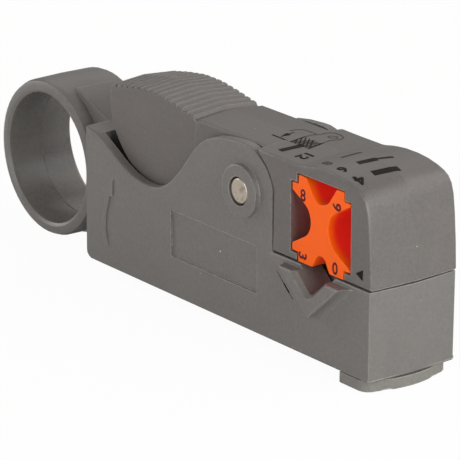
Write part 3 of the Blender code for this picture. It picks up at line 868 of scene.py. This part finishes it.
def raised_plate(name: str, outline: tuple, low: float, high: float, soft: float) -> bpy.types.Object:
    """Low plateau on the near side.

    Args:
        name: The piece's name.
        outline: Its outline in x and z, anticlockwise as seen from the near side.
        low: The y of its foot, under the face that it stands on.
        high: The y of its top.
        soft: Width of its rounded edges in millimetres.

    Returns:
        The plateau as a mesh.
    """
    plate = outlined_face(outline, low)
    with editing(plate, Pick.FACES):
        bpy.ops.mesh.extrude_region_move(TRANSFORM_OT_translate={"value": (0, (high - low) * MM, 0)})
        bpy.ops.mesh.select_all(action="SELECT")
        bpy.ops.mesh.normals_make_consistent(inside=False)
    apply_modifier(plate, "BEVEL", width=soft * MM, segments=3, limit_method="ANGLE",
                   angle_limit=math.radians(30))
    bpy.ops.object.shade_smooth_by_angle(angle=math.radians(40))
    return settle(plate, name)


def flat_glyph(text: str, height: float, centre: Vector, right: Vector, up: Vector,
               weight: float) -> bpy.types.Object:
    """Flat mesh of a numeral.

    Args:
        text: The numeral.
        height: Height of a digit in millimetres.
        centre: Its middle, in metres.
        right: Direction in which it reads.
        up: Direction of its top.
        weight: How much bolder it is, in millimetres.

    Returns:
        The mesh object, in place.
    """
    bpy.ops.object.select_all(action="DESELECT")
    bpy.ops.object.text_add()
    glyph = bpy.context.active_object
    glyph.data.body = text
    glyph.data.align_x = "CENTER"
    glyph.data.size = 1.0
    glyph.data.offset = weight / height * DIGIT_SHARE
    glyph.data.resolution_u = 6
    bpy.ops.object.convert(target="MESH")
    glyph = bpy.context.active_object
    rows = [v.co.y for v in glyph.data.vertices]
    columns = [v.co.x for v in glyph.data.vertices]
    middle = ((max(columns) + min(columns)) / 2, (max(rows) + min(rows)) / 2, 0)
    glyph.data.transform(Matrix.Translation(-Vector(middle)))
    size = height * MM / (max(rows) - min(rows))
    glyph.data.transform(Matrix.Diagonal((size, size, size, 1.0)))
    turn = Matrix((right, up, right.cross(up))).transposed().to_4x4()
    glyph.data.transform(Matrix.Translation(centre) @ turn)
    return glyph


def flat_bar(start: Vector, end: Vector, width: float, normal: Vector) -> bpy.types.Object:
    """Flat rectangle from a point to another.

    Args:
        start: Middle of one short side, in metres.
        end: Middle of the other.
        width: Its width in millimetres.
        normal: Direction that it faces.

    Returns:
        The mesh object, in place.
    """
    bpy.ops.object.select_all(action="DESELECT")
    bpy.ops.mesh.primitive_plane_add(size=1.0)
    bar = bpy.context.active_object
    along = end - start
    side = normal.cross(along).normalized()
    shape = Matrix((along, side * width * MM, normal)).transposed().to_4x4()
    bar.data.transform(Matrix.Translation((start + end) / 2) @ shape)
    return bar


def joined(parts: list[bpy.types.Object], name: str) -> bpy.types.Object:
    """One object of several.

    Args:
        parts: Mesh objects.
        name: Name of the result.

    Returns:
        The object.
    """
    bpy.ops.object.select_all(action="DESELECT")
    for part in parts:
        part.select_set(True)
    bpy.context.view_layer.objects.active = parts[0]
    bpy.ops.object.join()
    return settle(bpy.context.active_object, name)


def laid_on(mark: bpy.types.Object, carrier: bpy.types.Object, facing: Facing,
            cuts: int) -> bpy.types.Object:
    """Lay a flat print on a curved face.

    Args:
        mark: The flat print, in front of the face.
        carrier: The piece that carries it.
        facing: Where the face looks.
        cuts: Cuts of each edge, so that the print can follow the face.

    Returns:
        The print.
    """
    with editing(mark, Pick.FACES):
        bpy.ops.mesh.quads_convert_to_tris()
        bpy.ops.mesh.subdivide(number_cuts=cuts)
    apply_modifier(mark, "SHRINKWRAP", wrap_method="PROJECT", target=carrier,
                   use_project_z=facing is Facing.UP, use_project_y=facing is Facing.SIDEWAYS,
                   use_negative_direction=True, use_positive_direction=True,
                   project_limit=INK_REACH * MM, offset=INK_THICKNESS * MM)
    apply_modifier(mark, "SOLIDIFY", thickness=INK_THICKNESS * MM, offset=-0.5)
    return mark


def thickened(mark: bpy.types.Object) -> bpy.types.Object:
    """Give the ink of a print on a flat face its thickness."""
    apply_modifier(mark, "SOLIDIFY", thickness=FLAT_INK_THICKNESS * MM, offset=0.0)
    return mark


# ---------------------------------------------------------------- the tool


@dataclass
class Body:
    """Body with its finger ring and cable guides, its raised arrow and its mould line.

    Attributes:
        half: Half the width of the body, where its sides lie.
        edge: Width of the rounded edges.
        arrow: Corners of the raised arrow in x and z.
        arrow_proud: How far the arrow stands proud.
        arrow_root: How deep its foot is set into the side.
        arrow_edge: Width of its rounded edges.
        line_width: Width of the mould line in the finger ring.
        line_steps: Points around that line.
        shadow_strokes: Start and end in x and z, and width, of each stroke of the painted shadow in the
            slit beside the guide.
        fleck: Start and end of the paint fleck.
        fleck_width: Its width.
        fleck_proud: How far it stands proud.
    """

    half: float = 9.25
    edge: float = 0.14
    arrow: tuple = ((5.65, 4.2), (6.65, 4.2), (5.95, 7.3), (6.25, 9.9), (7.35, 13.5), (8.2, 13.8),
                    (8.3, 16.9), (4.4, 14.2), (6.15, 13.8), (5.2, 10.1), (4.9, 7.4))
    arrow_proud: float = 0.3
    arrow_root: float = 0.05
    arrow_edge: float = 0.12
    line_width: float = 0.22
    line_steps: int = 96
    shadow_strokes: tuple = (((54.6, 12.95), (58.9, 9.15), 0.12), ((56.5, 11.27), (57.9, 10.05), 0.34))
    fleck: tuple = ((38.62, -8.9, 11.9), (38.78, -8.9, 11.9))
    fleck_width: float = 0.3
    fleck_proud: float = 0.03

    def build(self) -> None:
        """Make the body and all that is moulded or left on it."""
        refinish("body_frame", self.edge, Finish.GREY, "frame")
        self.raise_arrow()
        self.draw_mould_line()
        self.paint_slit_shadow()
        self.drop_fleck()

    def raise_arrow(self) -> None:
        """Raised arrow on the near side of the body."""
        arrow = raised_plate("turning_arrow", self.arrow, -self.half + self.arrow_root,
                             -self.half - self.arrow_proud, self.arrow_edge)
        dress(arrow, Finish.GREY, "frame")

    def draw_mould_line(self) -> None:
        """Fine witness of the mould's parting inside the finger ring."""
        ring = []
        for i in range(self.line_steps):
            angle = math.tau * i / self.line_steps
            ring.append((RING_PLACE[0] + RING_HOLE * math.cos(angle), 0.0,
                         RING_PLACE[1] + RING_HOLE * math.sin(angle)))
        line = raised_line("ring_mould_line", ring, self.line_width, closed=True)
        dress(line, Finish.GREY, "frame")

    def paint_slit_shadow(self) -> None:
        """Painted shadow in the slit beside the cable guide."""
        face = -self.half - FLAT_INK_THICKNESS / 2
        strokes = [flat_bar(at(x0, face, z0), at(x1, face, z1), width, Vector((0, -1, 0)))
                   for (x0, z0), (x1, z1), width in self.shadow_strokes]
        dress(thickened(joined(strokes, "guide_slit_shadow")), Finish.SLIT_SHADOW, "frame")

    def drop_fleck(self) -> None:
        """Paint fleck in the label's recess."""
        fleck = raised_line("label_fleck", list(self.fleck), self.fleck_width, self.fleck_proud)
        dress(fleck, Finish.WHITE_FLECK, "frame")


@dataclass
class ClampArm:
    """Clamp arm with its printed cutting guide and index mark.

    Attributes:
        edge: Width of the rounded edges.
        print_z: Height over the head at which the prints start.
        head_rear: Place of the head's rear face along the tool.
        near_rear: How far from it a point may lie and still belong to it.
        side_y: Distance from the middle plane beyond which that face is moved.
        seam_middle: Height below which it moves towards the cheek.
        seam_top: Height above which it stays in place.
        seam_moves: Moves along the tool below and above the middle height.
        numbers: Text, place in x and y, height and boldness of each strip length.
        worn_number: The same for the worn one.
        jacket: Line of the drawn cable's jacket in x and y.
        tail: Line of its tail.
        core: Line of its core.
        index: Corners of the index mark in x and z.
        index_y: Where the index mark starts, beside the head.
    """

    edge: float = 0.14
    print_z: float = 36.4
    head_rear: float = 53.55
    near_rear: float = 0.3
    side_y: float = 7.0
    seam_middle: float = 20.0
    seam_top: float = 27.5
    seam_moves: tuple[float, float] = (-0.22, 0.08)
    numbers: tuple = (("12", 57.7, -6.0, 2.3, 0.10), ("6", 68.7, -6.95, 2.3, 0.14),
                      ("4", 73.15, -7.0, 2.6, 0.2))
    worn_number: tuple = ("8", 64.35, -6.6, 2.1, 0.05)
    jacket: tuple = ((50.4, 0.0), (50.1, 1.6), (50.5, 3.2), (50.2, 4.9), (50.9, 5.9), (52.4, 6.1),
                     (53.9, 5.5), (54.6, 4.2), (54.2, 2.4), (54.9, 0.1))
    tail: tuple = ((46.1, 0.2), (46.0, 1.4), (46.4, 2.7), (47.6, 3.0), (49.4, 2.9), (50.2, 2.4))
    core: tuple = ((52.0, 4.1), (52.8, 4.9), (53.7, 4.3), (53.2, 3.4), (52.3, 3.3), (52.0, 4.1))
    index: tuple = ((75.1, 18.4), (76.9, 19.4), (76.8, 17.5))
    index_y: float = -11.0

    def close_seam(self, point: Vector) -> Vector:
        """Lean the head's rear face against the cheek at its foot, clear of the round ear at its top.

        Args:
            point: A point of the arm, in the row frame.

        Returns:
            The point, moved where it lies on that face.
        """
        behind = point.x / MM - REAR_FACE_X - self.head_rear
        height = point.z / MM - UNDERSIDE_Z
        if abs(behind) > self.near_rear or height > self.seam_top or abs(point.y) < self.side_y * MM:
            return point
        moved = self.seam_moves[0] if height < self.seam_middle else self.seam_moves[1]
        return Vector((point.x + moved * MM, point.y, point.z))

    def build(self) -> None:
        """Make the arm and what is printed on it."""
        arm = refinish("clamp_arm", self.edge, Finish.ARM, "arm", self.close_seam)
        self.print_numbers(arm)
        self.print_guide(arm)
        self.print_index(arm)

    def number(self, text: str, x: float, y: float, tall: float, bold: float) -> bpy.types.Object:
        """One number over the head, read from the finger ring.

        Args:
            text: The number.
            x: Its place along the tool.
            y: Its place across.
            tall: Its height.
            bold: How much bolder it is than the font.

        Returns:
            The flat number.
        """
        return flat_glyph(text, tall, at(x, y, self.print_z), Vector((0, -1, 0)), Vector((1, 0, 0)), bold)

    def bar(self, x0: float, y0: float, x1: float, y1: float, width: float) -> bpy.types.Object:
        """One bar over the head.

        Args:
            x0: Start along the tool.
            y0: Start across.
            x1: End along the tool.
            y1: End across.
            width: Its width.

        Returns:
            The flat bar.
        """
        return flat_bar(at(x0, y0, self.print_z), at(x1, y1, self.print_z), width, Vector((0, 0, 1)))

    def print_numbers(self, arm: bpy.types.Object) -> None:
        """Strip lengths in millimetres."""
        parts = [self.number(*number) for number in self.numbers]
        numbers = laid_on(joined(parts, "strip_length_numbers"), arm, Facing.UP, cuts=3)
        dress(numbers, Finish.INK, "arm")
        worn = joined([self.number(*self.worn_number)], "worn_number")
        dress(laid_on(worn, arm, Facing.UP, cuts=3), Finish.WORN_INK, "arm")

    def bold_bars(self) -> list[bpy.types.Object]:
        """Bars of the cutting guide."""
        bars = [self.bar(68.2, -3.4, 68.85, 0.1, 1.3), self.bar(68.75, 0.0, 69.2, 3.3, 0.6),
                self.bar(72.6, -3.9, 73.3, 1.1, 1.45), self.bar(52.6, -7.1, 53.4, -2.9, 1.3),
                self.bar(47.25, -2.6, 47.25, 0.3, 0.22)]
        for i in range(3):
            bars.append(self.bar(47.2, -2.5 + 0.5 * i, 47.25, -1.9 + 0.5 * i, 0.3 + 0.36 * i))
        return bars + [self.bar(45.4, -3.05, 49.6, -3.1, 0.28)]

    def hatching(self) -> list[bpy.types.Object]:
        """Crossed strokes of the drawn cable's braid, each cut off at the ends of the braid."""
        foot, reach, slope, width = -3.25, 2.5, 1.1, 0.24
        bars = []
        for i in range(6):
            x = 50.6 + 0.92 * i
            right, left = min(x + reach, 55.3), max(x - reach, 50.4)
            bars.append(self.bar(x - 0.3, foot, right, foot + (right - x + 0.3) * slope, width))
            bars.append(self.bar(x + 0.3, foot, left, foot + (x + 0.3 - left) * slope, width))
        return bars + [self.bar(50.6, -3.2, 50.35, 0.1, 0.3), self.bar(55.35, -3.2, 55.0, 0.1, 0.3)]

    def drawn_lines(self) -> list[bpy.types.Object]:
        """Thin lines of the drawn cable, and the worn bar beside it."""
        bars = [self.bar(*start, *end, 0.2) for line in (self.jacket, self.tail, self.core)
                for start, end in zip(line, line[1:])]
        return bars + [self.bar(63.75, -3.25, 64.3, 0.7, 0.6)]

    def print_guide(self, arm: bpy.types.Object) -> None:
        """Bars of the cutting guide and the drawing of a stripped cable."""
        for name, parts, finish in (("cutting_guide_bars", self.bold_bars(), Finish.INK),
                                    ("braid_hatching", self.hatching(), Finish.SOFT_INK),
                                    ("cable_drawing", self.drawn_lines(), Finish.WORN_INK)):
            dress(laid_on(joined(parts, name), arm, Facing.UP, cuts=6), finish, "arm")

    def print_index(self, arm: bpy.types.Object) -> None:
        """Triangle that shows which groove is in use."""
        mark = settle(outlined_face(self.index, self.index_y), "index_mark")
        dress(laid_on(mark, arm, Facing.SIDEWAYS, cuts=3), Finish.INK, "arm")


@dataclass
class Cassette:
    """Turnable cable cassette with a numeral beside each groove.

    Attributes:
        edge: Width of the rounded edges.
        numerals: Text, place in x and z, turn in degrees and height of each numeral.
        bold: How much bolder they are than the font.
    """

    edge: float = 0.12
    numerals: tuple = (("8", 61.25, 27.95, 0.0, 2.1), ("6", 69.95, 28.25, 90.0, 2.2),
                       ("3", 61.3, 17.45, -90.0, 2.1), ("0", 69.65, 17.6, 0.0, 2.15))
    bold: float = 0.07

    def build(self) -> None:
        """Make the cassette and its numerals."""
        refinish("cable_cassette", self.edge, Finish.ORANGE, "cassette")
        for side in Side:
            self.print_numerals(side)

    def print_numerals(self, side: Side) -> None:
        """Numerals on one face."""
        parts = []
        for text, x, z, turn, tall in self.numerals:
            angle = math.radians(turn)
            right = Vector((-side.value * math.cos(angle), 0.0, math.sin(angle)))
            up = Vector((side.value * math.sin(angle), 0.0, math.cos(angle)))
            place = at(x, side.value * (CASSETTE_HALF_LENGTH + FLAT_INK_THICKNESS / 2), z)
            parts.append(flat_glyph(text, tall, place, right, up, self.bold))
        numbers = thickened(joined(parts, f"groove_numbers_{side.name.lower()}"))
        dress(numbers, Finish.CASSETTE_INK, "cassette")


@dataclass
class Pivot:
    """Pivot pin with chamfered ends, dished in rings.

    Attributes:
        centre: Place of its axis in x and z.
        radius: Its radius.
        half: Half its length.
        chamfer: Width of the rounded chamfer at each end.
        rings: Width and depth of each ring of an end, from the outside.
    """

    centre: tuple = (45.3, 24.64)
    radius: float = 2.25
    half: float = 10.05
    chamfer: float = 0.28
    rings: tuple = ((0.35, 0.0), (0.5, -0.05), (0.5, -0.03))

    def build(self) -> None:
        """Turn the pin."""
        bpy.ops.object.select_all(action="DESELECT")
        place = at(self.centre[0], 0, self.centre[1])
        bpy.ops.mesh.primitive_cylinder_add(vertices=48, radius=self.radius * MM, location=place,
                                            depth=2 * self.half * MM, rotation=(math.radians(90), 0, 0))
        pin = settle(bpy.context.active_object, "turned_pin")
        with editing(pin, Pick.FACES):
            pick_faces(pin, lambda face: abs(face.normal.y) > 0.9)
            bpy.ops.mesh.bevel(offset=self.chamfer * MM, segments=3, affect="EDGES")
            pick_faces(pin, lambda face: abs(face.normal.y) > 0.99)
            for width, depth in self.rings:
                bpy.ops.mesh.inset(thickness=width * MM, depth=depth * MM)
        bpy.ops.object.shade_smooth_by_angle(angle=math.radians(35))
        dress(pin, Finish.PIN, "frame", "pivot_pin")


@dataclass
class ReturnSpring:
    """Compression coil with closed ends.

    Attributes:
        x: Place of its axis along the tool.
        radius: Mean radius of the turns.
        wire: Radius of the wire.
        low: Height of the lowest turn, on the body.
        high: Height of the highest turn, in the lever.
        turns: Number of turns, with the two dead ones.
        slack: Gap between a dead turn and the next.
        steps: Points in one turn.
        held: Height above which the turns keep to the lever; not used.
    """

    x: float = 27.0
    radius: float = 3.15
    wire: float = 0.35
    low: float = 7.65
    high: float = 24.95
    turns: int = 8
    slack: float = 0.12
    steps: int = 36
    held: float = 21.0

    def build(self) -> None:
        """Wind the coil."""
        dead = 2 * self.wire + self.slack
        rise = (self.high - self.low - 2 * dead) / (self.turns - 2)
        points = []
        for i in range(self.turns * self.steps + 1):
            done = i / self.steps
            if done <= 1:
                z = self.low + dead * done
            elif done >= self.turns - 1:
                z = self.high - dead * (self.turns - done)
            else:
                z = self.low + dead + rise * (done - 1)
            angle = math.tau * done
            points.append((self.x + self.radius * math.cos(angle), self.radius * math.sin(angle), z))
        coil = raised_line("return_coil", points, 2 * self.wire)
        dress(coil, Finish.SPRING, None, "return_spring")
        at(self.x, 0, self.low)
        at(self.x, 0, self.held)
        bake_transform(coil)


@dataclass
class BladeCartridge:
    """Blade cartridge, its blades, carriers and screws, and the cover with the foot.

    Attributes:
        count: Number of blades.
        foot_top: Height of the foot's upper face.
        lift: How far that face is lifted.
        edge: Width of the rounded edges of the cartridge and the cover.
    """

    count: int = 3
    foot_top: float = -0.3
    lift: float = 0.27
    edge: float = 0.12

    def close_up(self, point: Vector) -> Vector:
        """Lift the foot's upper face against the body, as the assembled tool shows it.

        Args:
            point: A point of the cover, in the row frame.

        Returns:
            The point, lifted where it lies on that face.
        """
        level = (self.foot_top + UNDERSIDE_Z) * MM
        if abs(point.z - level) < ON_PLANE * MM:
            return Vector((point.x, point.y, point.z + self.lift * MM))
        return point

    def build(self) -> None:
        """Make every piece of the cartridge."""
        refinish("blade_cartridge", self.edge, Finish.BLACK, "frame")
        refinish("cartridge_cover", self.edge, Finish.COVER, "frame", self.close_up)
        for i in (1, 2):
            refinish(f"cover_screw_{i}", 0.06, Finish.SCREW, "frame")
        for i in range(1, self.count + 1):
            refinish(f"blade_{i}", 0.02, Finish.BLADE, f"carrier_{i}")
            refinish(f"blade_carrier_{i}", 0.08, Finish.BRASS, f"carrier_{i}")
            refinish(f"adjusting_screw_{i}", 0.05, Finish.SCREW, f"screw_{i}")


# ---------------------------------------------------------------- the studio


@dataclass(frozen=True)
class Softbox:
    """One area lamp.

    Attributes:
        name: Its name.
        azimuth: Where it hangs around the tool, 0 in front of the near side, in degrees.
        elevation: Its height over the horizon, in degrees.
        power: Watts.
        tint: Its colour.
        size: Side of its square, in metres.
    """

    name: str
    azimuth: float
    elevation: float
    power: float
    tint: Point = (1.0, 1.0, 1.0)
    size: float = 0.45


@dataclass
class Studio:
    """Pale floor, soft lamps, white surroundings and the camera, with their distances in metres.

    Attributes:
        aim: Point that the camera and the lamps look at.
        azimuth: Where the camera stands around the tool, in degrees.
        elevation: Its height over the horizon, in degrees.
        distance: Its distance from the point.
        lens: Its focal length in millimetres.
        lamp_distance: Distance of the lamps from the point.
        ambient: Strength of the surroundings as a light.
        mirrored: Their strength in a gloss.
        floor_size: Side of the floor.
        floor_drop: How far it lies under the foot.
        floor_glow: Share of its own light in what the camera sees of it, the rest being shadow.
        lamps: The lamps.
    """

    aim: Vector = field(default_factory=lambda: at(30.34, -0.35, 11.62))
    azimuth: float = 52.312
    elevation: float = 19.086
    distance: float = 0.5975
    lens: float = 270.0
    lamp_distance: float = 0.75
    ambient: float = 0.05
    mirrored: float = 0.35
    floor_size: float = 4.0
    floor_drop: float = 0.00002
    floor_glow: float = 0.96
    lamps: tuple = (
        Softbox("left_window", -70.0, 20.0, 2.0, (1.0, 0.95, 0.92)),
        Softbox("near_side", 12.0, 15.0, 2.45, (1.0, 0.99, 0.97)),
        Softbox("camera_fill", 52.0, 30.0, 0.4, (1.0, 0.96, 0.94)),
        Softbox("front_key", 90.0, 18.0, 4.2, (0.98, 1.0, 0.96)),
        Softbox("front_far", 125.0, 35.0, 1.2),
        Softbox("behind_far", 175.0, 32.0, 1.7, (1.0, 0.92, 0.88)),
        Softbox("behind", 230.0, 40.0, 0.5, (1.0, 0.93, 0.9)),
    )

    def look(self, thing: bpy.types.Object, azimuth: float, elevation: float, distance: float) -> None:
        """Put a lamp or the camera around the tool, looking at it.

        Args:
            thing: The lamp or camera, which looks along its own -z.
            azimuth: Where it stands, 0 in front of the near side, in degrees.
            elevation: Its height over the horizon, in degrees.
            distance: Its distance in metres.
        """
        a, e = math.radians(azimuth), math.radians(elevation)
        back = Vector((math.sin(a) * math.cos(e), -math.cos(a) * math.cos(e), math.sin(e)))
        bpy.context.scene.collection.objects.link(thing)
        thing.location = self.aim + back * distance
        thing.rotation_mode = "QUATERNION"
        thing.rotation_quaternion = back.to_track_quat("Z", "Y")

    def build(self) -> None:
        """Set up the whole studio."""
        self.light_world()
        self.lay_floor()
        for lamp in self.lamps:
            self.hang(lamp)
        self.place_camera()
        bpy.context.scene.view_settings.view_transform = "Standard"

    def light_world(self) -> None:
        """Even surroundings, white where they are seen or mirrored."""
        world = bpy.data.worlds.new("studio_surroundings")
        world.use_nodes = True
        bpy.context.scene.world = world
        tree = ShaderTree(world.node_tree)
        soft, dim, white = (tree.value("ShaderNodeBackground", None, {"Color": WHITE, "Strength": power})
                            for power in (self.ambient, self.mirrored, 1.0))
        camera, gloss, through = tree.rays()
        lit = tree.mix_shader(gloss, soft, dim)
        seen = tree.mix_shader(camera.largest(through), lit, white)
        tree.add("ShaderNodeOutputWorld", None, {"Surface": seen})

    def lay_floor(self) -> None:
        """Pale floor under the foot, which keeps a faint shadow and is clear from beneath."""
        bpy.ops.object.select_all(action="DESELECT")
        bpy.ops.mesh.primitive_plane_add(size=self.floor_size, location=(0, 0, -self.floor_drop))
        floor = settle(bpy.context.active_object, "studio_floor")
        tree, material = ShaderTree.for_material("pale_floor")
        cloud = tree.noise(tree.place(), 0.01, 2.0)
        pale = tree.shade((247, 247, 247), 1 + cloud * 0.02)
        paper = tree.value("ShaderNodeBsdfPrincipled", None,
                           {"Base Color": pale, "Roughness": 0.9, "Specular IOR Level": 0.0})
        glow = tree.value("ShaderNodeEmission", None, {"Color": WHITE, "Strength": 1.0})
        above = tree.mix_shader(tree.rays()[0] * self.floor_glow, paper, glow)
        clear = tree.value("ShaderNodeBsdfTransparent", None, {"Color": WHITE})
        beneath = tree.value("ShaderNodeNewGeometry", output="Backfacing")
        both = tree.mix_shader(beneath, above, clear)
        tree.add("ShaderNodeOutputMaterial", None, {"Surface": both})
        floor.data.materials.append(material)

    def hang(self, lamp: Softbox) -> None:
        """Hang one softbox, aimed at the tool."""
        data = bpy.data.lights.new(lamp.name, "AREA")
        data.energy = lamp.power
        data.color = lamp.tint
        data.size = lamp.size
        light = bpy.data.objects.new(lamp.name, data)
        self.look(light, lamp.azimuth, lamp.elevation, self.lamp_distance)

    def place_camera(self) -> None:
        """Camera at the viewing angle of the picture."""
        data = bpy.data.cameras.new("camera")
        data.lens = self.lens
        data.sensor_width = 36.0
        data.clip_start = 0.01
        data.clip_end = 50.0
        camera = bpy.data.objects.new("camera", data)
        self.look(camera, self.azimuth, self.elevation, self.distance)
        bpy.context.scene.camera = camera


def main() -> None:
    """Build the tool and its studio."""
    logging.basicConfig(level=logging.INFO, format="%(name)s: %(message)s")
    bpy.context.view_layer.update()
    for part in (Body(), ClampArm(), Cassette(), Pivot(), ReturnSpring(), BladeCartridge()):
        part.build()
        LOG.info("built %s", type(part).__name__)
    Studio().build()
    bpy.context.view_layer.update()


if __name__ == "__main__":
    main()
